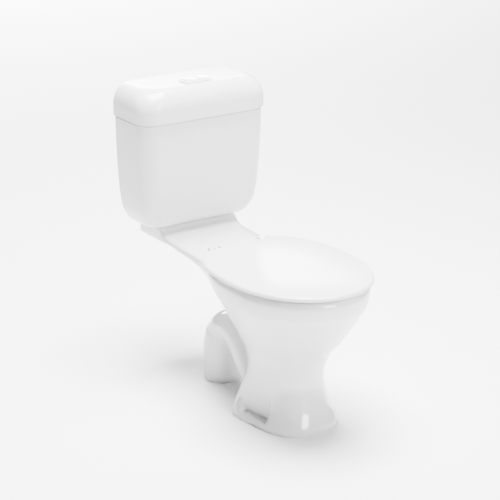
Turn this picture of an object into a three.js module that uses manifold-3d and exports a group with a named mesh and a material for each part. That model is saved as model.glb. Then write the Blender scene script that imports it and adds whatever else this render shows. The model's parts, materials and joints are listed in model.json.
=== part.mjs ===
// A close coupled toilet: vitreous china pan with its own S trap, plastic cistern, seat and cover.
// Millimetres, +Z up. The origin is on the floor at the middle of the outline; the toilet faces -Y
// and its cistern stands against a wall at y = wallY.
import * as THREE from "three";
import { ParametricGeometry } from "three/addons/geometries/ParametricGeometry.js";
import { mergeVertices } from "three/addons/utils/BufferGeometryUtils.js";
import Module from "manifold-3d";

const wasm = await Module();
wasm.setup();

// ---- Driving dimensions ----
const overallLength = 790;
const wallY = overallLength / 2;
const fitGap = 0.4; // left between pieces that touch

const rimTopZ = 394.5;
const rim = { halfWidth: 179, frontY: -384, wideY: -160, rearY: 92 };

const shelf = { halfWidth: 122, depth: 106, topZ: 420, bottomZ: 377, plate: 14 };
const shelfFrontY = wallY - shelf.depth;
const inletY = wallY - 53; // where flush water passes from cistern to pan
const boltX = 78;

const foot = { wall: 32, ledgeZ: 19, turn: -0.157, lean: 0.07, faceX: 84, faceY: -136 };
const trap = { radius: 47, outletRadius: 51, bore: 38, outletY: 167, crownZ: 166 };

const tank = { floorZ: shelf.topZ + fitGap, floor: 5, wall: 4, topZ: 729.6, depth: 160 };
const lid = { halfWidth: 200, depth: 168, bottomZ: 724, topZ: 809, wall: 4, ledgeZ: 730 };

const hinge = { x: 76, y: 80, z: 410, barrel: 8, pin: 4 };
const seat = { halfWidth: 181, frontY: -387, wideY: -152, rearY: 62, bottomZ: 399.5, topZ: 413 };
const cover = { halfWidth: 189, frontY: -395, wideY: -152, rearY: 92, bottomZ: 404.6 };

const button = { y: wallY - 103, topZ: 817, width: 36, depth: 33, rodX: 19, rodY: wallY - 97 };
const fillX = 141;
const fillY = wallY - 40;

// ---- Helpers ----
const TAU = Math.PI * 2;

function manifoldOf(position, index) {
  return new wasm.Manifold(new wasm.Mesh({ numProp: 3, vertProperties: position, triVerts: index }));
}

// Position-only, merged geometry with collapsed triangles dropped, as a solid.
function solid(geometry) {
  let g = geometry.index ? geometry.toNonIndexed() : geometry.clone();
  g = new THREE.BufferGeometry().setAttribute("position", g.getAttribute("position"));
  g = mergeVertices(g, 1e-3);
  const from = g.index.array;
  const kept = [];
  for (let i = 0; i < from.length; i += 3) {
    const [a, b, c] = [from[i], from[i + 1], from[i + 2]];
    if (a !== b && b !== c && c !== a) kept.push(a, b, c);
  }
  const made = manifoldOf(g.attributes.position.array, new Uint32Array(kept));
  if (made.volume() > 0) return made;
  for (let i = 0; i < kept.length; i += 3) [kept[i], kept[i + 1]] = [kept[i + 1], kept[i]];
  return manifoldOf(g.attributes.position.array, new Uint32Array(kept));
}

function geometryOf(made) {
  const mesh = made.getMesh();
  const n = mesh.numProp;
  const position = new Float32Array(mesh.numVert * 3);
  for (let i = 0; i < mesh.numVert; i++)
    position.set(mesh.vertProperties.subarray(i * n, i * n + 3), i * 3);
  const g = new THREE.BufferGeometry();
  g.setAttribute("position", new THREE.BufferAttribute(position, 3));
  g.setIndex(new THREE.BufferAttribute(mesh.triVerts, 1));
  g.computeVertexNormals();
  return g;
}

// A closed skin over rings: ring(k, i) gives point i of ring k, and both ends are capped.
function loft(rings, around, ring) {
  const points = [];
  for (let k = 0; k < rings; k++) for (let i = 0; i < around; i++) points.push(ring(k, i));
  const centre = (k) => {
    const sum = new THREE.Vector3();
    for (let i = 0; i < around; i++) sum.add(points[k * around + i]);
    return sum.divideScalar(around);
  };
  const ends = [centre(0), centre(rings - 1)];
  const rows = rings + 1;
  const put = (u, v, target) => {
    const row = Math.round(v * rows);
    if (row === 0) target.copy(ends[0]);
    else if (row === rows) target.copy(ends[1]);
    else target.copy(points[(row - 1) * around + (Math.round(u * around) % around)]);
  };
  return solid(new ParametricGeometry(put, around, rows));
}

// Smooth value at a place through rows of [place, values...], never past a neighbouring row's value.
function blend(rows, place, column) {
  if (place <= rows[0][0]) return rows[0][column];
  const next = rows.findIndex((row) => row[0] >= place);
  if (next < 0) return rows.at(-1)[column];
  const rise = (a, b) => (a && b ? (b[column] - a[column]) / (b[0] - a[0]) : null);
  const meet = (a, b) => {
    if (a === null || b === null) return a ?? b;
    return a * b <= 0 ? 0 : (2 * a * b) / (a + b);
  };
  const [p, q] = [rows[next - 1], rows[next]];
  const own = rise(p, q);
  const startSlope = meet(rise(rows[next - 2], p), own) * (q[0] - p[0]);
  const endSlope = meet(own, rise(q, rows[next + 1])) * (q[0] - p[0]);
  const t = (place - p[0]) / (q[0] - p[0]);
  const [t2, t3] = [t * t, t * t * t];
  return (
    (2 * t3 - 3 * t2 + 1) * p[column] +
    (t3 - 2 * t2 + t) * startSlope +
    (3 * t2 - 2 * t3) * q[column] +
    (t3 - t2) * endSlope
  );
}

const power = (v, n) => Math.sign(v) * Math.abs(v) ** (2 / n);

// An egg in plan: widest at wideY, fuller ends for a larger exponent, narrowing forwards by taper.
function egg(angle, e) {
  const [c, s] = [Math.cos(angle), Math.sin(angle)];
  const n = s < 0 ? e.frontN : e.rearN;
  const reach = s < 0 ? e.wideY - e.frontY : e.rearY - e.wideY;
  const y = e.wideY + reach * power(s, n);
  const narrow = 1 - (e.taper ?? 0) * (e.rearY - y);
  return [e.halfWidth * power(c, n) * narrow, y];
}

// A round tube along a curve in the x = 0 plane, closed at both ends.
function tube(curve, radiusAt, steps, sides) {
  return loft(steps + 1, sides, (k, i) => {
    const [t, angle] = [k / steps, (i / sides) * TAU];
    const along = curve.getTangentAt(t);
    const across = new THREE.Vector3(1, 0, 0);
    const up = new THREE.Vector3().crossVectors(across, along).normalize();
    const r = radiusAt(t);
    return curve
      .getPointAt(t)
      .addScaledVector(across, r * Math.cos(angle))
      .addScaledVector(up, r * Math.sin(angle));
  });
}

const curveThrough = (points) =>
  new THREE.CatmullRomCurve3(points.map(([y, z]) => new THREE.Vector3(0, y, z)), false, "centripetal");

function cylinder(radius, x, y, z0, z1, sides = 20) {
  const g = new THREE.CylinderGeometry(radius, radius, z1 - z0, sides);
  g.rotateX(Math.PI / 2);
  g.translate(x, y, (z0 + z1) / 2);
  return solid(g);
}

// A cylinder lying along X.
function crossPin(radius, x0, x1, y, z, sides = 20) {
  const g = new THREE.CylinderGeometry(radius, radius, x1 - x0, sides);
  g.rotateZ(Math.PI / 2);
  g.translate((x0 + x1) / 2, y, z);
  return solid(g);
}

const ringOf = (inner, outer, x, y, z0, z1, sides = 20) =>
  cylinder(outer, x, y, z0, z1, sides).subtract(cylinder(inner, x, y, z0 - 1, z1 + 1, sides));

// A turned piece about a vertical axis, from [radius, z] points going once round the section.
function turned(profile, x, y, sides = 28) {
  const points = [...profile, profile[0]].map(([r, z]) => new THREE.Vector2(r, z));
  const g = new THREE.LatheGeometry(points, sides);
  g.rotateX(Math.PI / 2);
  g.translate(x, y, 0);
  return solid(g);
}

function box(x0, x1, y0, y1, z0, z1) {
  const g = new THREE.BoxGeometry(x1 - x0, y1 - y0, z1 - z0);
  g.translate((x0 + x1) / 2, (y0 + y1) / 2, (z0 + z1) / 2);
  return solid(g);
}

const both = (made) => made.add(made.mirror([1, 0, 0]));

// Point i of a rectangle with rounded corners: back corners of one radius, front of another.
function roundedPoint(i, around, r) {
  const each = around / 4;
  const quarter = Math.floor(i / each);
  const angle = ((quarter + (i % each) / (each - 1)) * Math.PI) / 2;
  const radius = quarter < 2 ? r.back : r.front;
  const x = (quarter === 0 || quarter === 3 ? 1 : -1) * (r.halfWidth - radius) + radius * Math.cos(angle);
  const y = (quarter < 2 ? r.backY - radius : r.frontY + radius) + radius * Math.sin(angle);
  return new THREE.Vector3(x, y, r.z);
}

const group = new THREE.Group();
const china = new THREE.MeshStandardMaterial({ color: 0xf4f4f2, roughness: 0.12, metalness: 0 });
const shellPlastic = new THREE.MeshStandardMaterial({ color: 0xf2f2f2, roughness: 0.2, metalness: 0 });
const seatPlastic = new THREE.MeshStandardMaterial({ color: 0xf6f6f6, roughness: 0.22, metalness: 0 });
const buttonPlastic = new THREE.MeshStandardMaterial({ color: 0xf3f3f3, roughness: 0.18, metalness: 0 });
const rubber = new THREE.MeshStandardMaterial({ color: 0x2a2a2c, roughness: 0.85, metalness: 0 });
const buffer = new THREE.MeshStandardMaterial({ color: 0xd9d9d6, roughness: 0.7, metalness: 0 });
const steel = new THREE.MeshStandardMaterial({ color: 0xb8babd, roughness: 0.3, metalness: 1 });
const brass = new THREE.MeshStandardMaterial({ color: 0xc49a4a, roughness: 0.35, metalness: 1 });
const valveWhite = new THREE.MeshStandardMaterial({ color: 0xd8dadc, roughness: 0.5, metalness: 0 });
const valveGrey = new THREE.MeshStandardMaterial({ color: 0x9da2a8, roughness: 0.5, metalness: 0 });
const valveBlue = new THREE.MeshStandardMaterial({ color: 0x3f6fa8, roughness: 0.5, metalness: 0 });

// Facets that lie within a small tolerance of their neighbours are merged.
function add(name, made, material, tolerance = 0.12) {
  const mesh = new THREE.Mesh(geometryOf(made.simplify(tolerance)), material);
  mesh.name = name;
  group.add(mesh);
}

// ---- Pan ----
// Rows of z, half width, front y, widest y, rear y, front exponent, rear exponent, taper.
const panRows = [
  [0, 120, -285, -110, -36, 3.1, 6, 0.0004],
  [12, 119, -284, -110, -35, 3.1, 5.5, 0.0004],
  [55, 103, -266, -122, -22, 2.6, 3.6, 0.0004],
  [130, 89, -246, -140, -32, 2.2, 2.6, 0.0002],
  [187, 101, -262, -147, -24, 2.1, 2.3, 0],
  [240, 126, -307, -156, 0, 2.1, 2.3, 0],
  [313, 159, -359, -160, 40, 2.1, 2.4, 0],
  [350, 175, -380, -160, 72, 2.1, 2.4, 0],
  [382, rim.halfWidth, rim.frontY, rim.wideY, rim.rearY, 2.1, 2.5, 0],
  [rimTopZ, rim.halfWidth - 5, rim.frontY + 5, rim.wideY, rim.rearY - 5, 2.1, 2.5, 0],
];

function panPoint(rows, z, angle, inset = 0) {
  const [halfWidth, frontY, wideY, rearY, frontN, rearN, taper] = [1, 2, 3, 4, 5, 6, 7].map((c) => blend(rows, z, c));
  const e = { halfWidth: halfWidth - inset, frontY: frontY + inset, wideY, rearY: rearY - inset };
  const [x, y] = egg(angle, { ...e, frontN, rearN, taper });
  return new THREE.Vector3(x, y, z);
}

function panSkin(rows, heights, around, inset) {
  return loft(heights.length, around, (k, i) => panPoint(rows, heights[k], (i / around) * TAU, inset));
}

// The deck behind the bowl carries the hinges, narrows to a neck, then climbs to the cistern shelf.
// Rows of y, half width, top z, bottom z.
const deckRows = [
  [-60, 150, rimTopZ, 352],
  [-20, 155, rimTopZ, 352],
  [20, 143, rimTopZ, 352],
  [60, 130, rimTopZ, 354],
  [95, 123, rimTopZ, 359],
  [130, shelf.halfWidth, rimTopZ + 0.3, 365],
  [200, shelf.halfWidth, 396, 372],
  [256, shelf.halfWidth, 399, shelf.bottomZ],
  [274, shelf.halfWidth, 405, shelf.bottomZ],
  [shelfFrontY, shelf.halfWidth, shelf.topZ, shelf.bottomZ],
  [wallY - 1, shelf.halfWidth, shelf.topZ, shelf.bottomZ],
];

function deckBody() {
  const places = [-60, -20, 10, 35, 60, 80, 100, 130, 165, 200, 230, 254, 264, 274, 282, shelfFrontY, 300, wallY - 1];
  const around = 32;
  return loft(places.length, around, (k, i) => {
    const y = places[k];
    const [half, top, bottom] = [1, 2, 3].map((c) => blend(deckRows, y, c));
    const square = y < 254 ? 5 : Math.min(5 + (y - 254) * 0.3, 16);
    const angle = (i / around) * TAU;
    const x = half * power(Math.cos(angle), square);
    return new THREE.Vector3(x, y, (top + bottom) / 2 + ((top - bottom) / 2) * power(Math.sin(angle), square));
  });
}

const trapPath = curveThrough([
  [-118, 62],
  [-80, 54],
  [-40, 55],
  [-4, 72],
  [28, 108],
  [64, 150],
  [108, trap.crownZ],
  [150, 150],
  [trap.outletY, 104],
  [trap.outletY, 50],
  [trap.outletY, 0],
]);
const trapBody = () => tube(trapPath, (t) => (t < 0.7 ? trap.radius : trap.outletRadius), 30, 28);

function trapWay() {
  const way = tube(trapPath, () => trap.bore, 30, 24);
  return way.add(cylinder(trap.bore, 0, trap.outletY, -3, 6, 24));
}

// The bowl's hollow: sump, slope, wall, gallery under the rim, mouth.
const hollowRows = [
  [30, 40, -160, -118, -70, 2, 2, 0],
  [62, 46, -166, -118, -64, 2, 2, 0],
  [100, 54, -182, -120, -62, 2, 2, 0],
  [150, 62, -208, -130, -60, 2, 2.1, 0],
  [200, 82, -250, -142, -44, 2, 2.2, 0],
  [262, 112, -304, -154, -8, 2, 2.2, 0],
  [320, 145, -346, -158, 22, 2.1, 2.3, 0],
  [352, 158, -365, -159, 30, 2.1, 2.3, 0],
  [366, 156, -363, -159, 28, 2.1, 2.3, 0],
  [373, 139, -347, -159, 10, 2.1, 2.3, 0],
  [rimTopZ + 2, 136, -344, -159, 8, 2.1, 2.3, 0],
];
const bowlHollow = (inset, heights, around = 44) => panSkin(hollowRows, heights, around, inset);

// The hollow under the foot, keeping a wall round the outside, the bowl and the trap.
function footHollow() {
  const wall = 11;
  const inside = panSkin(panRows, [-1, 10, 24, 40, 60, 84, 110, 140], 40, foot.wall);
  const kept = inside
    .subtract(bowlHollow(-wall, [20, 60, 100, 150, 200], 32))
    .subtract(tube(trapPath, () => trap.radius, 24, 24));
  const open = kept.decompose().filter((piece) => piece.boundingBox().min[2] < 0);
  return open.reduce((a, b) => a.add(b));
}

function flushWay() {
  const path = curveThrough([
    [inletY + 8, 391],
    [inletY - 40, 388],
    [inletY - 100, 384.5],
    [170, 379],
    [90, 372],
    [20, 356],
    [-8, 350],
  ]);
  const steps = 14;
  const around = 16;
  return loft(steps + 1, around, (k, i) => {
    const p = path.getPointAt(k / steps);
    const angle = (i / around) * TAU;
    return new THREE.Vector3(30 * power(Math.cos(angle), 3), p.y, p.z + 5.5 * power(Math.sin(angle), 3));
  });
}

// Each side of the foot is cut back to a flat face over a ledge, which two floor screws go down through.
function footScoops() {
  const g = new THREE.BoxGeometry(70, 104, 130);
  g.translate(35, 0, 65);
  g.rotateY(foot.lean);
  g.rotateZ(foot.turn);
  g.translate(foot.faceX, foot.faceY, foot.ledgeZ);
  return both(solid(g));
}

const screwPlaces = [
  [98, -97],
  [86, -175],
];
const screwHoles = () =>
  screwPlaces.map(([x, y]) => both(cylinder(4, x, y, -5, foot.ledgeZ + 5, 16))).reduce((a, b) => a.add(b));

function makePan() {
  let pan = panSkin(panRows, [0, 7, 14, 28, 44, 62, 84, 108, 132, 156, 180, 206, 232, 260, 288, 316, 340, 362, 378, 389, rimTopZ], 64, 0);
  pan = pan.add(deckBody()).add(trapBody());
  // Pockets under the shelf for the wing nuts, and flat places under the deck for the hinge nuts.
  const pocket = box(53, shelf.halfWidth - 10, shelfFrontY + 9, wallY - 11, 300, shelf.topZ - shelf.plate);
  const hingeSpot = cylinder(15, hinge.x, hinge.y, 300, 368);
  const hingeHole = cylinder(5.5, hinge.x, hinge.y, 300, 400, 16);
  const boltHole = cylinder(6.5, boltX, inletY, 380, 440, 16);
  pan = pan
    .subtract(bowlHollow(0, [52, 62, 80, 100, 124, 150, 175, 200, 230, 262, 292, 320, 340, 354, 366, 373, rimTopZ + 2], 48))
    .subtract(trapWay())
    .subtract(footHollow())
    .subtract(both(pocket))
    .subtract(both(hingeSpot))
    .subtract(both(hingeHole))
    .subtract(both(boltHole))
    .subtract(flushWay())
    .subtract(cylinder(44.5, 0, inletY, 398, 440, 32))
    .subtract(cylinder(25, 0, inletY, 388, 440, 28))
    .subtract(footScoops())
    .subtract(screwHoles());
  return pan;
}
add("pan", makePan(), china, 0.45);

// ---- Cistern ----
// Rows of z, half width, front y, front corner radius.
const tankRows = [
  [tank.floorZ, 142, wallY - 108, 30],
  [424, 151, wallY - 119, 36],
  [432, 160, wallY - 129, 40],
  [446, 169, wallY - 138, 42],
  [466, 178, wallY - 144, 44],
  [500, 184.5, wallY - 148, 46],
  [545, 189, wallY - 152, 48],
  [625, 193, wallY - 157, 50],
  [tank.topZ, 195.4, wallY - tank.depth, 50],
];

function tankSkin(heights, around, inset) {
  return loft(heights.length, around, (k, i) => {
    const [halfWidth, frontY, corner] = [1, 2, 3].map((c) => blend(tankRows, heights[k], c));
    const r = { halfWidth: halfWidth - inset, frontY: frontY + inset, backY: wallY - inset, z: heights[k] };
    return roundedPoint(i, around, { ...r, front: corner - inset, back: Math.max(10 - inset, 4) });
  });
}

function makeTank() {
  const inside = tankSkin([tank.floorZ, 428, 440, 466, 500, 545, 625, tank.topZ], 32, tank.wall);
  const hollow = inside.intersect(box(-300, 300, 0, 500, tank.floorZ + tank.floor, tank.topZ - 1));
  const mouth = tankSkin([tank.topZ - 4, tank.topZ + 4], 32, tank.wall);
  const boss = cylinder(16.5, fillX, fillY, tank.floorZ, 432);
  return tankSkin([tank.floorZ, 424, 432, 446, 466, 500, 545, 625, tank.topZ], 40, 0)
    .subtract(hollow)
    .subtract(mouth)
    .add(boss)
    .subtract(cylinder(10.6, fillX, fillY, 400, 450))
    .subtract(cylinder(26.8, 0, inletY, 400, 450, 28))
    .subtract(both(cylinder(5, boltX, inletY, 400, 450, 16)));
}
add("cistern_tank", makeTank(), shellPlastic);

// The lid rises straight, then its front leans back in a long curve to the flat top at the rear.
function lidSkin(z0, z1, around, inset, steps) {
  return loft(steps + 1, around, (k, i) => {
    const t = k / steps;
    const z = z0 + (z1 - z0) * Math.sin((t * Math.PI) / 2);
    const h = Math.min(Math.max((z - lid.bottomZ - 26) / (lid.topZ - lid.bottomZ - 26), 0), 1);
    const round = 1 - Math.sqrt(1 - h ** 2);
    const r = {
      halfWidth: lid.halfWidth - inset - 46 * round,
      frontY: wallY - lid.depth + inset + 44 * round,
      backY: wallY - inset,
      z,
      front: 56 - inset + 6 * round,
      back: Math.max(10 - inset, 4),
    };
    return roundedPoint(i, around, r);
  });
}

function makeLid() {
  const skirt = tankSkin([lid.bottomZ - 2, lid.ledgeZ], 32, -1.1);
  const room = lidSkin(lid.ledgeZ - 1, lid.topZ - lid.wall, 32, 11, 7);
  const opening = box(-39.6, 39.6, button.y - 18.6, button.y + 18.6, 780, 830);
  return lidSkin(lid.bottomZ, lid.topZ, 48, 0, 12).subtract(skirt).subtract(room).subtract(opening);
}
add("cistern_lid", makeLid(), shellPlastic);

function makeBezel() {
  const around = 32;
  const frame = (x, y, r, z0, z1) =>
    loft(2, around, (k, i) =>
      roundedPoint(i, around, { halfWidth: x, frontY: button.y - y, backY: button.y + y, front: r, back: r, z: k ? z1 : z0 }),
    );
  const flange = frame(43.5, 22, 8, lid.topZ + 0.3, lid.topZ + 4.5);
  const skirt = frame(39.2, 18.2, 4, lid.topZ - 26, lid.topZ + 1);
  const well = frame(37.4, 17, 3, lid.topZ - 24, lid.topZ + 6);
  return flange
    .add(skirt)
    .subtract(well)
    .subtract(both(cylinder(4, button.rodX, button.rodY, 770, 800, 16)));
}
add("button_bezel", makeBezel(), buttonPlastic);
add(
  "bezel_retainer",
  box(-46, 46, button.y - 22, button.y + 22, lid.topZ - 12, lid.topZ - lid.wall - 0.3).subtract(
    box(-39.6, 39.6, button.y - 18.6, button.y + 18.6, 780, 830),
  ),
  valveGrey,
);

function makeButton(side) {
  const around = 24;
  const x0 = 18.9;
  const cap = loft(4, around, (k, i) => {
    const inset = [0, 0, 0.6, 2.2][k];
    const z = [button.topZ - 14, button.topZ - 2, button.topZ - 0.7, button.topZ][k];
    const r = { halfWidth: button.width / 2 - inset, frontY: button.y - button.depth / 2 + inset, z };
    const p = roundedPoint(i, around, { ...r, backY: button.y + button.depth / 2 - inset, front: 3, back: 3 });
    return p.setX(p.x + x0);
  });
  const made = cap.add(cylinder(3, button.rodX, button.rodY, 612, button.topZ - 10, 14));
  return side > 0 ? made : made.mirror([1, 0, 0]);
}
add("half_flush_button", makeButton(1), buttonPlastic);
add("full_flush_button", makeButton(-1), buttonPlastic);

// ---- Flush valve ----
const floorTop = tank.floorZ + tank.floor;
add("coupling_gasket", ringOf(37, 44, 0, inletY, 398.4, 420.1, 32), rubber);
add(
  "flush_valve_base",
  turned(
    [
      [21.5, 399],
      [26.2, 399],
      [26.2, floorTop + 3],
      [40, floorTop + 3],
      [40, floorTop + 7],
      [25, floorTop + 7],
      [25, 437],
      [21.5, 437],
    ],
    0,
    inletY,
  ),
  valveWhite,
);
add("flush_valve_base_seal", ringOf(27.2, 39, 0, inletY, floorTop + 0.3, floorTop + 2.7, 28), rubber);
add(
  "flush_valve_backnut",
  cylinder(36, 0, inletY, 409, 420.1, 8).subtract(cylinder(27, 0, inletY, 400, 425, 28)),
  valveGrey,
);

function makeCage() {
  const base = floorTop + 7.4;
  let cage = ringOf(34, 37, 0, inletY, base, 600, 28);
  cage = cage.add(cylinder(37, 0, inletY, 599, 604, 28)).add(box(-28, 28, 290, inletY - 20, 599, 604));
  cage = cage.subtract(cylinder(15, 0, inletY, 590, 610, 20));
  const window = box(-15, 15, -60, 60, base + 6, base + 38).translate([0, inletY, 0]);
  const cross = box(-60, 60, -15, 15, base + 6, base + 38).translate([0, inletY, 0]);
  const high = box(-14, 14, -60, 60, 500, 590).translate([0, inletY, 0]);
  return cage.subtract(window).subtract(cross).subtract(high);
}
add("flush_valve_cage", makeCage(), valveWhite);
add(
  "flush_valve_spindle",
  turned(
    [
      [10, 433],
      [18, 433],
      [18, 436.9],
      [13, 436.9],
      [13, 441],
      [28, 441],
      [28, 445],
      [13, 448],
      [13, 655],
      [10, 655],
    ],
    0,
    inletY,
    24,
  ),
  valveBlue,
);
add("flush_seal", ringOf(13.6, 28.5, 0, inletY, 437.3, 440.6, 24), rubber);
add("half_flush_float", ringOf(14.2, 31, 0, inletY, 520, 575, 24), valveGrey);

// ---- Cistern bolts ----
const bolt = cylinder(3.9, boltX, inletY, 384, floorTop + 5, 16).add(
  cylinder(9, boltX, inletY, floorTop + 3.7, floorTop + 8, 20),
);
const wing = box(boltX - 17, boltX + 17, inletY - 1.6, inletY + 1.6, 391, 402);
const wingNut = cylinder(8, boltX, inletY, 393, 402.4, 16).add(wing).subtract(cylinder(4.3, boltX, inletY, 380, 410, 16));
for (const [side, name] of [[1, "right"], [-1, "left"]]) {
  const place = (made) => (side > 0 ? made : made.mirror([1, 0, 0]));
  add(`tank_bolt_${name}`, place(bolt), brass);
  add(`tank_bolt_washer_${name}`, place(ringOf(4.3, 12, boltX, inletY, floorTop + 0.3, floorTop + 3.4, 14)), rubber);
  add(`tank_under_washer_${name}`, place(ringOf(4.3, 11, boltX, inletY, 403, 405.6, 14)), steel);
  add(`tank_wing_nut_${name}`, place(wingNut), brass);
}

// ---- Fill valve ----
add(
  "fill_valve_body",
  turned(
    [
      [6, 380],
      [10, 380],
      [10, 435],
      [15, 435],
      [15, 439],
      [11, 441],
      [11, 640],
      [6, 640],
    ],
    fillX,
    fillY,
    20,
  ),
  valveWhite,
);
add("fill_valve_seal", ringOf(10.6, 14.5, fillX, fillY, 432.3, 434.7, 20), rubber);
add("fill_valve_backnut", cylinder(17, fillX, fillY, 408, 420.1, 6).subtract(cylinder(10.4, fillX, fillY, 400, 425, 20)), valveGrey);
add(
  "fill_valve_cap",
  cylinder(19, fillX, fillY, 640.4, 668, 24).add(cylinder(5, fillX - 24, fillY + 8, 600, 652, 14)).add(box(fillX - 24, fillX - 8, fillY + 4, fillY + 12, 646, 652)),
  valveBlue,
);
add("fill_float", ringOf(11.8, 28, fillX, fillY, 536, 590, 28).subtract(cylinder(7, fillX - 24, fillY + 8, 500, 620, 14)), valveGrey);
add(
  "fill_lever",
  box(fillX - 34, fillX + 4, fillY - 24, fillY - 20, 655, 660).add(
    (() => {
      const g = new THREE.CylinderGeometry(5, 5, 4, 16);
      g.translate(fillX, fillY - 22, 657.5);
      return solid(g);
    })(),
  ),
  valveGrey,
);

// ---- Seat, cover and hinges ----
const seatEgg = (angle, inset) =>
  egg(angle, {
    halfWidth: seat.halfWidth - inset,
    frontY: seat.frontY + inset,
    wideY: seat.wideY,
    rearY: seat.rearY - inset,
    frontN: 2.1,
    rearN: 2.9,
  });

function makeSeat() {
  const rows = [
    [seat.bottomZ, 3],
    [seat.bottomZ + 3, 0],
    [seat.topZ - 5, 0],
    [seat.topZ - 2, 3],
    [seat.topZ, 12],
  ];
  const outer = loft(rows.length, 56, (k, i) => new THREE.Vector3(...seatEgg((i / 56) * TAU, rows[k][1]), rows[k][0]));
  const holeRows = [
    [seat.bottomZ - 1, 0],
    [seat.topZ - 5, 0],
    [seat.topZ + 1, -5],
  ];
  const hole = loft(3, 44, (k, i) => {
    const inset = holeRows[k][1];
    const e = { halfWidth: 104 - inset, frontY: -322 + inset, wideY: -160, rearY: -48 - inset, frontN: 2, rearN: 2.1 };
    return new THREE.Vector3(...egg((i / 44) * TAU, e), holeRows[k][0]);
  });
  const lug = crossPin(hinge.barrel, 84, 96, hinge.y, hinge.z).add(box(84, 96, 46, hinge.y, hinge.z - 8, hinge.z));
  return outer.subtract(hole).add(both(lug)).subtract(crossPin(hinge.pin + 0.4, -120, 120, hinge.y, hinge.z));
}
add("seat_ring", makeSeat(), seatPlastic);

const coverEgg = (angle, inset) =>
  egg(angle, {
    halfWidth: cover.halfWidth - inset,
    frontY: cover.frontY + inset,
    wideY: cover.wideY,
    rearY: cover.rearY - inset,
    frontN: 2.1,
    rearN: 2.7,
  });

function makeCover() {
  const outerRows = [
    [cover.bottomZ, 2],
    [cover.bottomZ + 2.5, 0],
    [411, 0.4],
    [414.5, 4],
    [417.5, 11],
    [420.2, 28],
    [422.6, 60],
    [424, 105],
  ];
  const innerRows = [
    [cover.bottomZ - 1, 5],
    [410, 6],
    [413.5, 10],
    [416, 20],
  ];
  const skin = (rows, around) =>
    loft(rows.length, around, (k, i) => new THREE.Vector3(...coverEgg((i / around) * TAU, rows[k][1]), rows[k][0]));
  const notch = box(52, 100, 67, 120, 380, 440);
  const lug = crossPin(hinge.barrel, 56, 68, hinge.y, hinge.z).add(box(56, 68, 50, hinge.y, hinge.z + 5.5, hinge.z + 9));
  return skin(outerRows, 56)
    .subtract(skin(innerRows, 44))
    .subtract(both(notch))
    .add(both(lug))
    .subtract(crossPin(hinge.pin + 0.4, -120, 120, hinge.y, hinge.z));
}
add("seat_cover", makeCover(), seatPlastic);

const rimMiddle = (degrees) =>
  egg((degrees * Math.PI) / 180, { halfWidth: 157, frontY: -364, wideY: -159, rearY: 40, frontN: 2.1, rearN: 2.4 });
[
  ["seat_buffer_front_right", -52],
  ["seat_buffer_front_left", -128],
  ["seat_buffer_rear_right", 18],
  ["seat_buffer_rear_left", 162],
].forEach(([name, degrees]) => {
  const [x, y] = rimMiddle(degrees);
  add(name, cylinder(7, x, y, rimTopZ + 0.3, seat.bottomZ - 0.3, 18), buffer);
});
[
  ["cover_buffer_right", -60],
  ["cover_buffer_left", -120],
].forEach(([name, degrees]) => {
  const [x, y] = rimMiddle(degrees);
  add(name, cylinder(6, x * 0.94, y + 12, seat.topZ + 0.3, 415.7, 18), buffer);
});

const post = crossPin(hinge.barrel, 70, 82, hinge.y, hinge.z)
  .add(box(70, 82, hinge.y - 6, hinge.y + 6, rimTopZ + 4, hinge.z))
  .add(cylinder(13, hinge.x, hinge.y, rimTopZ + 0.5, rimTopZ + 5, 24))
  .add(cylinder(4, hinge.x, hinge.y, 348, rimTopZ + 2, 16))
  .subtract(crossPin(hinge.pin + 0.4, 60, 90, hinge.y, hinge.z));
for (const [side, name] of [[1, "right"], [-1, "left"]]) {
  const place = (made) => (side > 0 ? made : made.mirror([1, 0, 0]));
  add(`hinge_post_${name}`, place(post), seatPlastic);
  add(`hinge_pin_${name}`, place(crossPin(hinge.pin, 55, 97.5, hinge.y, hinge.z, 20)), steel);
  add(`hinge_washer_${name}`, place(ringOf(4.4, 13, hinge.x, hinge.y, 364.6, 367.7, 14)), rubber);
  add(`hinge_nut_${name}`, place(cylinder(10, hinge.x, hinge.y, 353, 364.3, 6).subtract(cylinder(4.4, hinge.x, hinge.y, 340, 370, 16))), valveGrey);
}

export default group;
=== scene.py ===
import json
import math
import bmesh
import bpy
import numpy as np
from mathutils import Matrix, Vector


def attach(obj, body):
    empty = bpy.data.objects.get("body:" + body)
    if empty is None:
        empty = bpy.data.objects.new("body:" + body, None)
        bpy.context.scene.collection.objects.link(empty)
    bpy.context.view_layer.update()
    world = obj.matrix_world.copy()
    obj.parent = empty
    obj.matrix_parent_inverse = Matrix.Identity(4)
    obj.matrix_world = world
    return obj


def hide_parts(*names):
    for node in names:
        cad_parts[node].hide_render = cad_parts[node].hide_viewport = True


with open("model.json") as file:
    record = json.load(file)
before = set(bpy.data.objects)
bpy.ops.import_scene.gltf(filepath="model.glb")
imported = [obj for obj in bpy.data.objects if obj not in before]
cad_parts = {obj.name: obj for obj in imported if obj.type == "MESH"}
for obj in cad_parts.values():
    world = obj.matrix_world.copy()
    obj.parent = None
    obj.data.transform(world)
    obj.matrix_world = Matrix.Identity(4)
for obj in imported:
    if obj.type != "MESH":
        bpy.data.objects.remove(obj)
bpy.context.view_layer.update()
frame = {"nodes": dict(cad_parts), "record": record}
record = frame["record"]
millimetre = 0.001
turn = 2 * math.pi


# Shaping helpers (everything is written in millimetres and scaled once).

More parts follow.
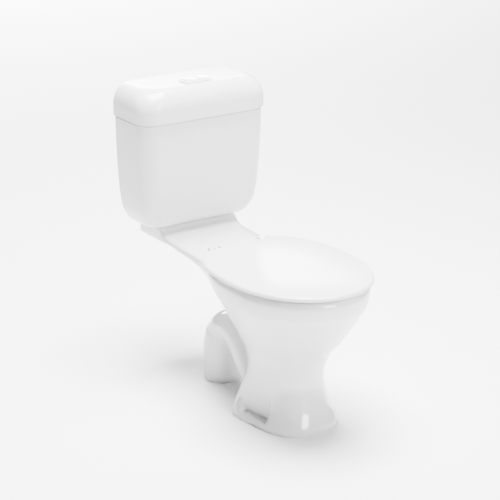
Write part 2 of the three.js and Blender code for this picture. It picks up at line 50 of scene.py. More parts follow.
def makeMesh(name, points, faces, sharpDegrees=40):
    mesh = bpy.data.meshes.new(name)
    mesh.from_pydata((np.asarray(points) * millimetre).tolist(), [], faces)
    mesh.validate()
    tidy = bmesh.new()
    tidy.from_mesh(mesh)
    bmesh.ops.remove_doubles(tidy, verts=tidy.verts, dist=2e-6)
    bmesh.ops.dissolve_degenerate(tidy, edges=tidy.edges, dist=1e-6)
    bmesh.ops.recalc_face_normals(tidy, faces=tidy.faces)
    tidy.to_mesh(mesh)
    tidy.free()
    made = bpy.data.objects.new(name, mesh)
    bpy.context.collection.objects.link(made)
    shadeSmooth(made, sharpDegrees)
    return made


def shadeSmooth(made, sharpDegrees=40):
    mesh = made.data
    mesh.polygons.foreach_set("use_smooth", np.ones(len(mesh.polygons), dtype=bool))
    mesh.set_sharp_from_angle(angle=math.radians(sharpDegrees))
    mesh.update()


def gridFaces(rows, around, closedRows=False):
    k, i = np.meshgrid(np.arange(rows if closedRows else rows - 1), np.arange(around), indexing="ij")
    nextRow = (k + 1) % rows
    nextColumn = (i + 1) % around
    corners = [(k, i), (k, nextColumn), (nextRow, nextColumn), (nextRow, i)]
    quads = np.stack([row * around + column for row, column in corners], axis=-1)
    return quads.reshape(-1, 4).tolist()


# rings has shape (rows, around, 3); both ends are closed by fans.
def loft(name, rings, sharpDegrees=40):
    rings = np.asarray(rings, dtype=float)
    rows, around = rings.shape[:2]
    points = np.concatenate([rings.reshape(-1, 3), rings[:1].mean(axis=1), rings[-1:].mean(axis=1)])
    first, last = rows * around, rows * around + 1
    i = np.arange(around)
    following = (i + 1) % around
    fans = np.stack([np.full(around, first), following, i], axis=-1).tolist()
    top = (rows - 1) * around
    fans += np.stack([np.full(around, last), top + i, top + following], axis=-1).tolist()
    return makeMesh(name, points, gridFaces(rows, around) + fans, sharpDegrees)


# Smooth value through rows of (place, values...), never past a neighbouring row's value.
def blend(table, places, column):
    table = np.asarray(table, dtype=float)
    x, y = table[:, 0], table[:, column]
    rise = np.diff(y) / np.diff(x)
    slope = np.empty(len(x))
    slope[0], slope[-1] = rise[0], rise[-1]
    product = rise[:-1] * rise[1:]
    total = np.where(np.abs(rise[:-1] + rise[1:]) < 1e-12, 1, rise[:-1] + rise[1:])
    slope[1:-1] = np.where(product <= 0, 0, 2 * product / total)
    places = np.clip(np.asarray(places, dtype=float), x[0], x[-1])
    k = np.clip(np.searchsorted(x, places) - 1, 0, len(x) - 2)
    span = x[k + 1] - x[k]
    t = (places - x[k]) / span
    return ((2 * t**3 - 3 * t**2 + 1) * y[k] + (t**3 - 2 * t**2 + t) * slope[k] * span
            + (3 * t**2 - 2 * t**3) * y[k + 1] + (t**3 - t**2) * slope[k + 1] * span)


def power(values, exponent):
    return np.sign(values) * np.abs(values) ** (2 / exponent)


# An oval with different front and rear reach and fullness: x = w*cos^(2/n), y = reach*sin^(2/n).
def egg(angles, halfWidth, frontY, wideY, rearY, frontN, rearN, taper=0):
    sine, cosine = np.sin(angles), np.cos(angles)
    exponent = np.where(sine < 0, frontN, rearN)
    reach = np.where(sine < 0, wideY - frontY, rearY - wideY)
    y = wideY + reach * power(sine, exponent)
    x = halfWidth * power(cosine, exponent) * (1 - taper * (rearY - y))
    return x, y


# Angles that put points at equal distances round a closed curve.
def evenAngles(count, curve):
    fine = np.linspace(0, turn, 4001)
    x, y = curve(fine)
    steps = np.concatenate([[0], np.cumsum(np.hypot(np.diff(x), np.diff(y)))])
    return np.interp(np.arange(count) / count * steps[-1], steps, fine)


def skin(name, table, heights, around, inset=0, sharpDegrees=40):
    rings = []
    for z in heights:
        values = [float(blend(table, z, c)) for c in range(1, 8)]
        shape = (values[0] - inset, values[1] + inset, values[2], values[3] - inset, values[4], values[5], values[6])
        angles = evenAngles(around, lambda a: egg(a, *shape))
        x, y = egg(angles, *shape)
        rings.append(np.stack([x, y, np.full(around, z)], axis=-1))
    return loft(name, rings, sharpDegrees)


# A centripetal curve through (y, z) points, resampled to equal steps.
def smoothPath(points, count):
    points = np.asarray(points, dtype=float)
    ends = np.vstack([2 * points[0] - points[1], points, 2 * points[-1] - points[-2]])
    pieces = []
    for p0, p1, p2, p3 in zip(ends[:-3], ends[1:-2], ends[2:-1], ends[3:]):
        gaps = [np.linalg.norm(b - a) ** 0.5 for a, b in ((p0, p1), (p1, p2), (p2, p3))]
        knots = np.concatenate([[0], np.cumsum(gaps)])
        t = np.linspace(knots[1], knots[2], 24, endpoint=False)[:, None]
        a1 = (knots[1] - t) / knots[1] * p0 + t / knots[1] * p1
        a2 = (knots[2] - t) / (knots[2] - knots[1]) * p1 + (t - knots[1]) / (knots[2] - knots[1]) * p2
        a3 = (knots[3] - t) / (knots[3] - knots[2]) * p2 + (t - knots[2]) / (knots[3] - knots[2]) * p3
        b1 = (knots[2] - t) / knots[2] * a1 + t / knots[2] * a2
        b2 = (knots[3] - t) / (knots[3] - knots[1]) * a2 + (t - knots[1]) / (knots[3] - knots[1]) * a3
        share = (t - knots[1]) / (knots[2] - knots[1])
        pieces.append((knots[2] - t) / (knots[2] - knots[1]) * b1 + share * b2)
    line = np.vstack(pieces + [points[-1:]])
    steps = np.concatenate([[0], np.cumsum(np.linalg.norm(np.diff(line, axis=0), axis=1))])
    along = np.linspace(0, steps[-1], count)
    return np.stack([np.interp(along, steps, line[:, c]) for c in (0, 1)], axis=-1)


# A round tube in the x = 0 plane: each ring is square to the path.
def tube(name, path, radii, around):
    tangent = np.gradient(path, axis=0)
    tangent /= np.linalg.norm(tangent, axis=1)[:, None]
    angles = np.arange(around) / around * turn
    radii = np.broadcast_to(radii, len(path))
    across = radii[:, None] * np.cos(angles)
    up = radii[:, None] * np.sin(angles)
    rings = np.stack([across, path[:, :1] - up * tangent[:, 1:], path[:, 1:] + up * tangent[:, :1]], axis=-1)
    return loft(name, rings, 50)


# A vertical turned solid from (radius, z) pairs, closed at both ends.
def turned(name, profile, x, y, around=48, sharpDegrees=40):
    angles = np.arange(around) / around * turn
    rings = []
    for r, z in profile:
        rings.append(np.stack([x + r * np.cos(angles), y + r * np.sin(angles), np.full(around, z)], axis=-1))
    return loft(name, rings, sharpDegrees)


# A rectangle seen from above with rounded corners, joined corner to corner by straights.
def roundedRing(halfWidth, frontY, backY, frontRadius, backRadius, z, perCorner=16):
    quarter = np.linspace(0, math.pi / 2, perCorner)
    parts = []
    corners = [(1, True), (-1, True), (-1, False), (1, False)]
    for number, (side, back) in enumerate(corners):
        radius = backRadius if back else frontRadius
        angles = quarter + number * math.pi / 2
        middleY = backY - radius if back else frontY + radius
        x = side * (halfWidth - radius) + radius * np.cos(angles)
        parts.append(np.stack([x, middleY + radius * np.sin(angles)], axis=-1))
    line = np.concatenate(parts)
    return np.column_stack([line, np.full(len(line), z)])


def block(name, low, high):
    (x0, y0, z0), (x1, y1, z1) = low, high
    ring = [(x0, y0), (x1, y0), (x1, y1), (x0, y1)]
    return loft(name, [[(x, y, z) for x, y in ring] for z in (z0, z1)], 20)


# The mesh with its modifiers made real.
def applied(made):
    graph = bpy.context.evaluated_depsgraph_get()
    mesh = bpy.data.meshes.new_from_object(made.evaluated_get(graph))
    old = made.data
    made.modifiers.clear()
    made.data = mesh
    bpy.data.meshes.remove(old)
    return made


def cut(made, tools, operation="DIFFERENCE"):
    for tool in tools:
        step = made.modifiers.new("cut", "BOOLEAN")
        step.operation = operation
        step.object = tool
        step.solver = "MANIFOLD"
    applied(made)
    for tool in tools:
        bpy.data.objects.remove(tool)
    return made


# The same tool on both sides: build(side) with side 1 and -1.
def mirrored(build):
    return [build(1), build(-1)]


# Finishes.

# Very faint waviness and a little unevenness of gloss, as on fired glaze or moulded plastic.
def glazeGroup():
    group = bpy.data.node_groups.new("surfaceLife", "ShaderNodeTree")
    defaults = {"Wave Size": 30.0, "Wave Height": 0.02, "Roughness": 0.1, "Variation": 0.02}
    for name, value in defaults.items():
        socket = group.interface.new_socket(name=name, in_out="INPUT", socket_type="NodeSocketFloat")
        socket.default_value = value
    group.interface.new_socket(name="Roughness", in_out="OUTPUT", socket_type="NodeSocketFloat")
    group.interface.new_socket(name="Normal", in_out="OUTPUT", socket_type="NodeSocketVector")
    nodes, links = group.nodes, group.links
    entry, leave = nodes.new("NodeGroupInput"), nodes.new("NodeGroupOutput")
    place = nodes.new("ShaderNodeTexCoord")
    wave = nodes.new("ShaderNodeTexNoise")
    wave.inputs["Detail"].default_value = 1.0
    patch = nodes.new("ShaderNodeTexNoise")
    patch.inputs["Scale"].default_value = 14.0
    patch.inputs["Detail"].default_value = 3.0
    bump = nodes.new("ShaderNodeBump")
    bump.inputs["Distance"].default_value = 0.002
    centre = nodes.new("ShaderNodeMath")
    centre.operation = "SUBTRACT"
    centre.inputs[1].default_value = 0.5
    scaled = nodes.new("ShaderNodeMath")
    scaled.operation = "MULTIPLY_ADD"
    links.new(place.outputs["Object"], wave.inputs["Vector"])
    links.new(place.outputs["Object"], patch.inputs["Vector"])
    links.new(entry.outputs["Wave Size"], wave.inputs["Scale"])
    links.new(entry.outputs["Wave Height"], bump.inputs["Strength"])
    links.new(wave.outputs["Fac"], bump.inputs["Height"])
    links.new(patch.outputs["Fac"], centre.inputs[0])
    links.new(centre.outputs[0], scaled.inputs[0])
    links.new(entry.outputs["Variation"], scaled.inputs[1])
    links.new(entry.outputs["Roughness"], scaled.inputs[2])
    links.new(scaled.outputs[0], leave.inputs["Roughness"])
    links.new(bump.outputs["Normal"], leave.inputs["Normal"])
    return group


surfaceLife = glazeGroup()


def material(name, color, roughness, waveSize, waveHeight, variation,
             metallic=0.0, coat=0.0, coatRoughness=0.03, ior=1.5):
    made = bpy.data.materials.new(name)
    made.use_nodes = True
    nodes, links = made.node_tree.nodes, made.node_tree.links
    shader = nodes["Principled BSDF"]
    shader.inputs["Base Color"].default_value = (*color, 1)
    shader.inputs["Metallic"].default_value = metallic
    shader.inputs["IOR"].default_value = ior
    shader.inputs["Coat Weight"].default_value = coat
    shader.inputs["Coat Roughness"].default_value = coatRoughness
    life = nodes.new("ShaderNodeGroup")
    life.node_tree = surfaceLife
    life.inputs["Wave Size"].default_value = waveSize
    life.inputs["Wave Height"].default_value = waveHeight
    life.inputs["Roughness"].default_value = roughness
    life.inputs["Variation"].default_value = variation
    links.new(life.outputs["Roughness"], shader.inputs["Roughness"])
    links.new(life.outputs["Normal"], shader.inputs["Normal"])
    return made


# Each finish: name, colour, roughness, wave size, wave height, unevenness of gloss.
finishes = {
    "china": material("china", (0.68, 0.683, 0.687), 0.13, 9.0, 0.05, 0.03,
                      coat=0.6, coatRoughness=0.04, ior=1.52),
    "cistern_plastic": material("cisternPlastic", (0.66, 0.663, 0.666), 0.2, 22.0, 0.015, 0.04),
    "seat_plastic": material("seatPlastic", (0.69, 0.692, 0.695), 0.22, 18.0, 0.01, 0.04),
    "button_plastic": material("buttonPlastic", (0.8, 0.802, 0.804), 0.14, 40.0, 0.01, 0.03),
    "rubber": material("rubber", (0.03, 0.03, 0.033), 0.75, 300.0, 0.15, 0.1),
    "buffer": material("buffer", (0.66, 0.66, 0.64), 0.55, 200.0, 0.08, 0.08),
    "steel": material("steel", (0.6, 0.61, 0.63), 0.28, 400.0, 0.1, 0.12, metallic=1.0),
    "brass": material("brass", (0.68, 0.48, 0.2), 0.34, 300.0, 0.12, 0.14, metallic=1.0),
    "valve_white": material("valveWhite", (0.72, 0.73, 0.74), 0.42, 120.0, 0.05, 0.06),
    "valve_grey": material("valveGrey", (0.4, 0.42, 0.44), 0.45, 120.0, 0.05, 0.06),
    "valve_blue": material("valveBlue", (0.05, 0.17, 0.42), 0.4, 120.0, 0.05, 0.06),
}


# Gives a finished piece its finish, the body it moves with and the plain solids it stands for.
def piece(made, body, slotName, *nodes):
    made.data.materials.clear()
    made.data.materials.append(finishes[slotName])
    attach(made, body)
    if nodes:
        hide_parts(*nodes)
    print("piece", made.name, len(made.data.polygons))


# Pan.

pan = {
    "inletY": 342, "boltX": 78, "hingeX": 76, "hingeY": 80, "trapRadius": 47, "outletRadius": 51, "trapBore": 38,
    "footWall": 32, "screws": ((98, -97), (86, -175)), "voxel": 4.6, "smoothing": 9,
}
# z, half width, front y, widest y, rear y, front fullness, rear fullness, taper
panTable = [
    (0, 120, -285, -110, -36, 3.1, 6, 0.0004),
    (12, 119, -284, -110, -35, 3.1, 5.5, 0.0004),
    (55, 103, -266, -122, -22, 2.6, 3.6, 0.0004),
    (130, 89, -246, -140, -32, 2.2, 2.6, 0.0002),
    (187, 101, -262, -147, -24, 2.1, 2.3, 0),
    (240, 126, -307, -156, 0, 2.1, 2.3, 0),
    (313, 159, -359, -160, 40, 2.1, 2.4, 0),
    (350, 175, -380, -160, 72, 2.1, 2.4, 0),
    (382, 179, -384, -160, 92, 2.1, 2.5, 0),
    (394.5, 174, -379, -160, 87, 2.1, 2.5, 0),
]
# y, half width, top z, bottom z
deckTable = [
    (-60, 150, 394.5, 352), (-20, 155, 394.5, 352), (20, 143, 394.5, 352), (60, 130, 394.5, 354),
    (95, 123, 394.5, 359), (130, 122, 394.8, 365), (200, 122, 396, 372), (256, 122, 399, 377),
    (274, 122, 405, 377), (289, 122, 420, 377), (394, 122, 420, 377),
]
# y, z along the middle of the trap, from the sump to the outlet
trapPoints = [
    (-118, 62), (-80, 54), (-40, 55), (-4, 72), (28, 108), (64, 150),
    (108, 166), (150, 150), (167, 104), (167, 50), (167, 0),
]
# the bowl's hollow, in the columns of panTable
hollowTable = [
    (30, 40, -160, -118, -70, 2, 2, 0),
    (62, 46, -166, -118, -64, 2, 2, 0),
    (100, 54, -182, -120, -62, 2, 2, 0),
    (150, 62, -208, -130, -60, 2, 2.1, 0),
    (200, 82, -250, -142, -44, 2, 2.2, 0),
    (262, 112, -304, -154, -8, 2, 2.2, 0),
    (320, 145, -346, -158, 22, 2.1, 2.3, 0),
    (352, 158, -365, -159, 30, 2.1, 2.3, 0),
    (366, 156, -363, -159, 28, 2.1, 2.3, 0),
    (373, 139, -347, -159, 10, 2.1, 2.3, 0),
    (386, 136, -344, -159, 8, 2.1, 2.3, 0),
    (396.5, 142, -350, -159, 14, 2.1, 2.3, 0),
]


# The deck's cross-section is a rounded oblong that squares up where the shelf begins.
def deckSolid():
    places = np.concatenate([np.linspace(-60, 250, 40), np.linspace(254, 292, 20), np.linspace(298, 394, 12)])
    angles = np.arange(96) / 96 * turn
    rings = []
    for y in places:
        half, top, bottom = (float(blend(deckTable, y, c)) for c in (1, 2, 3))
        square = 5 if y < 254 else min(5 + (y - 254) * 0.3, 14)
        x = half * power(np.cos(angles), square)
        z = (top + bottom) / 2 + (top - bottom) / 2 * power(np.sin(angles), square)
        rings.append(np.stack([x, np.full(96, y), z], axis=-1))
    return loft("deckSolid", rings)


def buildPan():
    heights = np.concatenate([np.linspace(0, 382, 96), np.linspace(384, 394.5, 7)])
    made = skin("panGlazed", panTable, heights, 160)
    path = smoothPath(trapPoints, 90)
    radii = np.where(np.linspace(0, 1, 90) < 0.7, pan["trapRadius"], pan["outletRadius"])
    legs = tube("trapSolid", path, radii, 64)
    cut(made, [deckSolid(), legs], "UNION")
    cut(made, mirrored(footScoop))
    remesh = made.modifiers.new("even", "REMESH")
    remesh.mode = "VOXEL"
    remesh.voxel_size = pan["voxel"] * millimetre
    soften = made.modifiers.new("soften", "SMOOTH")
    soften.factor = 0.5
    soften.iterations = pan["smoothing"]
    applied(made)
    print("pan outside", len(made.data.polygons))
    flatten(made)
    hollowHeights = np.concatenate([np.linspace(52, 352, 60), np.linspace(354, 396.5, 18)])
    tools = [skin("hollow", hollowTable, hollowHeights, 96)]
    tools.append(tube("way", smoothPath(trapPoints[:-1] + [(167, -5)], 80), pan["trapBore"], 48))
    tools.append(footHollow())
    tools += mirrored(nutPocket)
    hingeX, hingeY, boltX, inletY = pan["hingeX"], pan["hingeY"], pan["boltX"], pan["inletY"]
    tools += mirrored(lambda side: turned("spot", [(15, 300), (15, 368)], hingeX * side, hingeY))
    tools += mirrored(lambda side: turned("stud", [(5.5, 290), (5.5, 405)], hingeX * side, hingeY, 24))
    tools += mirrored(lambda side: turned("bolt", [(6.5, 380), (6.5, 440)], boltX * side, inletY, 24))
    tools.append(turned("recess", [(44.5, 398), (44.5, 440)], 0, inletY, 64))
    tools.append(turned("well", [(25, 389), (25, 440)], 0, inletY, 48))
    tools.append(flushWay())
    for x, y in pan["screws"]:
        tools += mirrored(lambda side: turned("screwHole", [(4, -5), (4, 26)], x * side, y, 28))
    cut(made, tools)
    shadeSmooth(made, 38)
    return made


# Puts the lowest points back on the floor and the rear ones on the plane they were made on.
def flatten(made):
    count = len(made.data.vertices)
    points = np.empty(count * 3)
    made.data.vertices.foreach_get("co", points)
    points = points.reshape(-1, 3)
    low = points[:, 2] < 3.2 * millimetre
    points[low, 2] = 0
    rear = points[:, 1] > 391 * millimetre
    points[rear, 1] = 394 * millimetre
    made.data.vertices.foreach_set("co", points.ravel())
    made.data.update()


# Room under the shelf for a wing nut.
def nutPocket(side):
    near, far = sorted((53 * side, 112 * side))
    return block("pocket", (near, 298, 300), (far, 384, 406))


# The hollow under the foot, with a wall kept round the outside, the bowl and the trap.
def footHollow():
    inside = skin("footInside", panTable, np.concatenate([[-2], np.linspace(2, 140, 24)]), 72, pan["footWall"])
    bowl = skin("bowlKeep", hollowTable, np.linspace(30, 200, 24), 64, -11)
    legs = tube("trapKeep", smoothPath(trapPoints, 50), pan["trapRadius"], 40)
    return cut(inside, [bowl, legs])


# The flat passage that takes the flush from the inlet to the rim.
def flushWay():
    middle = [(350, 391), (302, 388), (242, 384.5), (170, 379), (90, 372), (20, 356), (-8, 350)]
    angles = np.arange(32) / 32 * turn
    rings = []
    for y, z in smoothPath(middle, 40):
        x = 30 * power(np.cos(angles), 3)
        rings.append(np.stack([x, np.full(32, y), z + 5.5 * power(np.sin(angles), 3)], axis=-1))
    return loft("flushWay", rings)


# A leaning flat face over a ledge: a box turned a little about its own upright and long edges.
def footScoop(side):
    made = block("scoop", (0, -52, 0), (70, 52, 130))
    lean = Matrix.Rotation(-0.157, 4, "Z") @ Matrix.Rotation(0.07, 4, "Y")
    made.data.transform(Matrix.Translation(Vector((84, -136, 19)) * millimetre) @ lean)
    if side < 0:
        made.data.transform(Matrix.Scale(-1, 4, (1, 0, 0)))
        made.data.flip_normals()
    return made


piece(buildPan(), "fixed", "china", "pan")

# Cistern.

cistern = {"wall": 4, "backY": 395, "inletX": 141, "inletY": 355}
# z, half width, front y, front corner radius
tankTable = [
    (420.4, 142, 287, 30), (424, 151, 276, 36), (432, 160, 266, 40), (446, 169, 257, 42), (466, 178, 251, 44),
    (500, 184.5, 247, 46), (545, 189, 243, 48), (625, 193, 238, 50), (729.6, 195.4, 235, 50),
]


def tankRings(heights, inset=0):
    rings = []
    for z in heights:
        halfWidth, frontY, corner = (float(blend(tankTable, z, c)) for c in (1, 2, 3))
        backY, backCorner = cistern["backY"] - inset, max(12 - inset, 4)
        rings.append(roundedRing(halfWidth - inset, frontY + inset, backY, corner - inset, backCorner, z))
    return rings


# The shell steps in by a hair above z = 717, which leaves a shadow line under the lid.
def buildTank():
    heights = np.concatenate([420.4 + np.linspace(0, 1, 14) ** 1.6 * 30, np.linspace(454, 717, 34)])
    rings = tankRings(heights) + tankRings([heights[-1] + 0.3], 0.8) + tankRings([718.5, 729.6], 2.2)
    made = loft("cisternShell", rings, 35)
    innerHeights = np.concatenate([np.linspace(425.4, 450, 10), np.linspace(460, 736, 24)])
    inner = loft("tankInside", tankRings(innerHeights, cistern["wall"]), 35)
    cut(made, [inner])
    inletX, inletY = cistern["inletX"], cistern["inletY"]
    boss = turned("boss", [(16.5, 420.4), (16.5, 432)], inletX, inletY)
    cut(made, [boss], "UNION")
    tools = [turned("valveHole", [(26.8, 400), (26.8, 450)], 0, pan["inletY"])]
    tools.append(turned("fillHole", [(10.6, 400), (10.6, 450)], inletX, inletY, 32))
    tools += mirrored(lambda side: turned("boltHole", [(5, 400), (5, 450)], pan["boltX"] * side, pan["inletY"], 24))
    cut(made, tools)
    shadeSmooth(made, 35)
    return made


piece(buildTank(), "fixed", "cistern_plastic", "cistern_tank")

lid = {
    "bottom": 724, "top": 809, "half": 200, "front": 227, "straight": 26,
    "sideCrown": 46, "frontCrown": 44, "corner": 56, "wall": 4, "sideWall": 11,
}


# Upright sides, then a quarter-round crown: the outline shrinks by 1 - sqrt(1 - height^2).
def lidRings(z0, z1, inset, count):
    rings = []
    for t in np.linspace(0, 1, count):
        z = z0 + (z1 - z0) * math.sin(t * math.pi / 2)
        crownStart = lid["bottom"] + lid["straight"]
        height = min(max((z - crownStart) / (lid["top"] - crownStart), 0), 1)
        crown = 1 - math.sqrt(1 - height * height)
        halfWidth = lid["half"] - inset - lid["sideCrown"] * crown
        frontY = lid["front"] + inset + lid["frontCrown"] * crown
        corner = lid["corner"] - inset + 6 * crown
        rings.append(roundedRing(halfWidth, frontY, cistern["backY"] - inset, corner, max(12 - inset, 4), z, 18))
    return rings


buttonPair = {"middleY": 292, "rodX": 19, "rodY": 298, "top": 817}


# An upright block with rounded corners, centred on the buttons.
def framePrism(name, halfX, halfY, radius, z0, z1):
    low, high = buttonPair["middleY"] - halfY, buttonPair["middleY"] + halfY
    return loft(name, [roundedRing(halfX, low, high, radius, radius, z, 10) for z in (z0, z1)], 30)


def buildLid():
    made = loft("cisternLid", lidRings(lid["bottom"], lid["top"], 0, 56), 42)
    skirt = loft("lidSkirt", tankRings([716, 722, 730], -1.1), 35)
    room = loft("lidRoom", lidRings(729, lid["top"] - lid["wall"], lid["sideWall"], 28), 42)
    opening = framePrism("lidOpening", 39.6, 18.6, 3, 780, 830)
    cut(made, [skirt, room, opening])
    shadeSmooth(made, 42)
    return made


piece(buildLid(), "lid", "cistern_plastic", "cistern_lid")


# A flange with a rounded edge round a rectangular well.
def buildBezel():
    edge = np.linspace(0, math.pi / 2, 8)
    rings = [roundedRing(39.2, 273.8, 310.2, 4, 4, z, 12) for z in (783, 808.9)]
    rings += [roundedRing(43.5, 270, 314, 8, 8, 809.2, 12)]
    for a in edge:
        inset = 1.8 * (1 - math.cos(a))
        rings.append(roundedRing(43.5 - inset, 270 + inset, 314 - inset, 8, 8, 811.6 + 1.9 * math.sin(a), 12))
    made = loft("buttonBezel", rings, 40)
    tools = [framePrism("well", 37.4, 17, 3, 785, 830)]
    rodX, rodY = buttonPair["rodX"], buttonPair["rodY"]
    tools += mirrored(lambda side: turned("rodHole", [(4, 770), (4, 800)], rodX * side, rodY, 24))
    return cut(made, tools)


bezel = buildBezel()
shadeSmooth(bezel, 40)
piece(bezel, "lid", "button_plastic", "button_bezel")


# A block with rounded upper edges and a shallow dish for the finger.
def buildButton(name, side):
    half, front, back, corner, rounding = 18, 275.5, 308.5, 3.2, 2.6
    top, shoulder = buttonPair["top"], buttonPair["top"] - rounding
    rings = [roundedRing(half, front, back, corner, corner, z, 10) for z in (803, 808, shoulder)]
    for a in np.linspace(0, math.pi / 2, 9)[1:]:
        inset = rounding * (1 - math.cos(a))
        z = shoulder + rounding * math.sin(a)
        rings.append(roundedRing(half - inset, front + inset, back - inset, corner, corner, z, 10))
    flat = rings[-1]
    middle = flat.mean(axis=0)
    for share in (0.75, 0.5, 0.25):
        ring = middle + (flat - middle) * share
        ring[:, 2] = top - 1.1 * (1 - share**2)
        rings.append(ring)
    for ring in rings:
        ring[:, 0] += 18.9
    made = loft(name, rings, 40)
    rod = turned("rod", [(3, 612), (3, 806)], buttonPair["rodX"], buttonPair["rodY"], 24)
    cut(made, [rod], "UNION")
    if side < 0:
        made.data.transform(Matrix.Scale(-1, 4, (1, 0, 0)))
        made.data.flip_normals()
    shadeSmooth(made, 40)
    return made


piece(buildButton("fullButtonCap", -1), "full_button", "button_plastic", "full_flush_button")
piece(buildButton("halfButtonCap", 1), "half_button", "button_plastic", "half_flush_button")

# Seat and cover.

hingeLine = {"y": 80, "z": 410}
seatShape = {"halfWidth": 181, "frontY": -387, "wideY": -152, "rearY": 62, "frontN": 2.1, "rearN": 2.9}
holeShape = {"halfWidth": 104, "frontY": -322, "wideY": -160, "rearY": -48, "frontN": 2.0, "rearN": 2.1}
coverShape = {"halfWidth": 189, "frontY": -395, "wideY": -152, "rearY": 92, "frontN": 2.1, "rearN": 2.7}


# A cylinder across the hinge line.
def onHingeLine(name, radius, x0, x1, around):
    made = turned(name, [(radius, x0), (radius, x1)], 0, 0, around)
    place = Matrix.Translation(Vector((0, hingeLine["y"], hingeLine["z"])) * millimetre)
    made.data.transform(place @ Matrix.Rotation(math.pi / 2, 4, "Y"))
    return made


def pinHole():
    return onHingeLine("pinHole", 4.4, -120, 120, 32)


# The lug on each side that joins a piece to its eye on the hinge line.
def lugTools(x0, x1, frontY, z0, z1):
    tools = []
    for side in (1, -1):
        low, high = sorted((x0 * side, x1 * side))
        tools.append(onHingeLine("eye", 8, low, high, 40))
        tools.append(block("lug", (low, frontY, z0), (high, hingeLine["y"], z1)))
    return tools


# Each cross-section of the ring is a flattened round between the outer and inner ovals.
def buildSeat():
    around, section = 180, 40
    base = np.arange(around) / around * turn
    outerX, outerY = egg(base, **seatShape)
    innerX, innerY = egg(base, **holeShape)
    angles = np.arange(section) / section * turn
    reach = (1 - power(np.cos(angles), 3.4)) / 2
    height = 406.2 + 6.8 * power(np.sin(angles), 2.6)
    rings = np.stack([
        outerX[None] + (innerX - outerX)[None] * reach[:, None],
        outerY[None] + (innerY - outerY)[None] * reach[:, None],
        np.repeat(height[:, None], around, axis=1)], axis=-1)
    made = makeMesh("seatRing", rings.reshape(-1, 3), gridFaces(section, around, True), 50)
    cut(made, lugTools(84, 96, 46, 402, 410), "UNION")
    cut(made, [pinHole()])
    shadeSmooth(made, 50)
    return made


piece(buildSeat(), "seat", "seat_plastic", "seat_ring")


# Level outlines of the cover, each drawn in by its own inset.
def coverRings(rows, around):
    rings = []
    for z, inset in rows:
        shape = dict(coverShape)
        shape["halfWidth"] -= inset
        shape["frontY"] += inset
        shape["rearY"] -= inset
        angles = evenAngles(around, lambda a: egg(a, **shape))
        x, y = egg(angles, **shape)
        rings.append(np.stack([x, y, np.full(around, z)], axis=-1))
    return rings


# The gap in the cover's rear edge for a hinge post.
def hingeNotch(side):
    near, far = sorted((52 * side, 100 * side))
    return block("notch", (near, 67, 380), (far, 130, 440))


# Edge rounded by a quarter circle, then a dome z = top - fall * (share of the way out)^3.
def buildCover():
    lower = [(404.6 + 2.2 * (1 - math.cos(a)), 2.2 * (1 - math.sin(a))) for a in np.linspace(0, math.pi / 2, 6)]
    upper = [(409 + 7 * math.sin(a), 8.5 * (1 - math.cos(a))) for a in np.linspace(0, 1, 12) * math.pi / 2]
    dome = [(416 + 8 * (1 - (1 - s) ** 2.6), 8.5 + 140 * s) for s in np.linspace(0.02, 1, 30)]
    made = loft("seatCover", coverRings(lower + upper + dome, 200), 40)
    inner = loft("coverInside", coverRings([(403.6, 5), (407, 5), (410, 6), (413.5, 10), (416, 20)], 120), 40)
    cut(made, [inner] + mirrored(hingeNotch))
    cut(made, lugTools(56, 68, 50, 415.5, 419), "UNION")
    cut(made, [pinHole()])
    shadeSmooth(made, 40)
    return made


piece(buildCover(), "cover", "seat_plastic", "seat_cover")

# The small plain pieces keep their solids and take their finish from the record.

slotOf = {entry["node"]: entry["material_slot"] for entry in record["subparts"]}
replaced = {
    "pan", "cistern_tank", "cistern_lid", "button_bezel",
    "full_flush_button", "half_flush_button", "seat_ring", "seat_cover",
}
for name, node in frame["nodes"].items():
    if name not in replaced:
        node.data.materials.clear()
        node.data.materials.append(finishes[slotOf[name]])
        shadeSmooth(node, 35)
print("small pieces", len(frame["nodes"]) - len(replaced))

# Floor, light, camera.

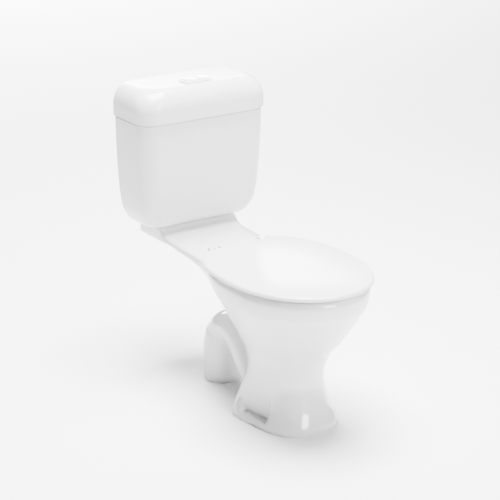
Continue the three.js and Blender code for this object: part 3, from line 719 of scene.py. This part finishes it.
floorReach = 9
floorCorners = [(-1, -1), (1, -1), (1, 1), (-1, 1)]
floorMesh = bpy.data.meshes.new("floor")
floorMesh.from_pydata([(x * floorReach, y * floorReach, 0) for x, y in floorCorners], [], [(0, 1, 2, 3)])
floor = bpy.data.objects.new("floor", floorMesh)
bpy.context.collection.objects.link(floor)
floor.data.materials.append(material("paleFloor", (0.92, 0.92, 0.92), 0.7, 4.0, 0.0, 0.02))

world = bpy.data.worlds.new("studio")
world.use_nodes = True
world.node_tree.nodes["Background"].inputs["Color"].default_value = (1, 1, 1, 1)
world.node_tree.nodes["Background"].inputs["Strength"].default_value = 0.03
bpy.context.scene.world = world


def areaLight(name, place, aim, size, watts):
    data = bpy.data.lights.new(name, "AREA")
    data.shape = "RECTANGLE"
    data.size, data.size_y = size
    data.energy = watts
    made = bpy.data.objects.new(name, data)
    bpy.context.collection.objects.link(made)
    back = (Vector(place) - Vector(aim)).normalized()
    made.matrix_world = Matrix.Translation(place) @ back.to_track_quat("Z", "Y").to_matrix().to_4x4()


areaLight("topLight", (0.1, 0.1, 3.4), (0, 0.1, 0.3), (1.9, 1.9), 900)
areaLight("keyLight", (0.6, -3.8, 2.0), (0, 0, 0.45), (1.4, 1.6), 260)
areaLight("farLight", (2.4, 6.6, 3.2), (2.4, 6.6, 0), (4.5, 4.5), 2300)

view = {"azimuth": -33.7, "elevation": 19.3, "place": (-2.6063, -3.8757, 2.0523), "lens": 136.8}
cameraData = bpy.data.cameras.new("camera")
cameraData.lens = view["lens"]
cameraData.sensor_width = 36
camera = bpy.data.objects.new("camera", cameraData)
bpy.context.collection.objects.link(camera)
turnBy, lift = math.radians(view["azimuth"]), math.radians(view["elevation"])
back = Vector((math.sin(turnBy) * math.cos(lift), -math.cos(turnBy) * math.cos(lift), math.sin(lift)))
camera.matrix_world = Matrix.Translation(view["place"]) @ back.to_track_quat("Z", "Y").to_matrix().to_4x4()
bpy.context.scene.camera = camera
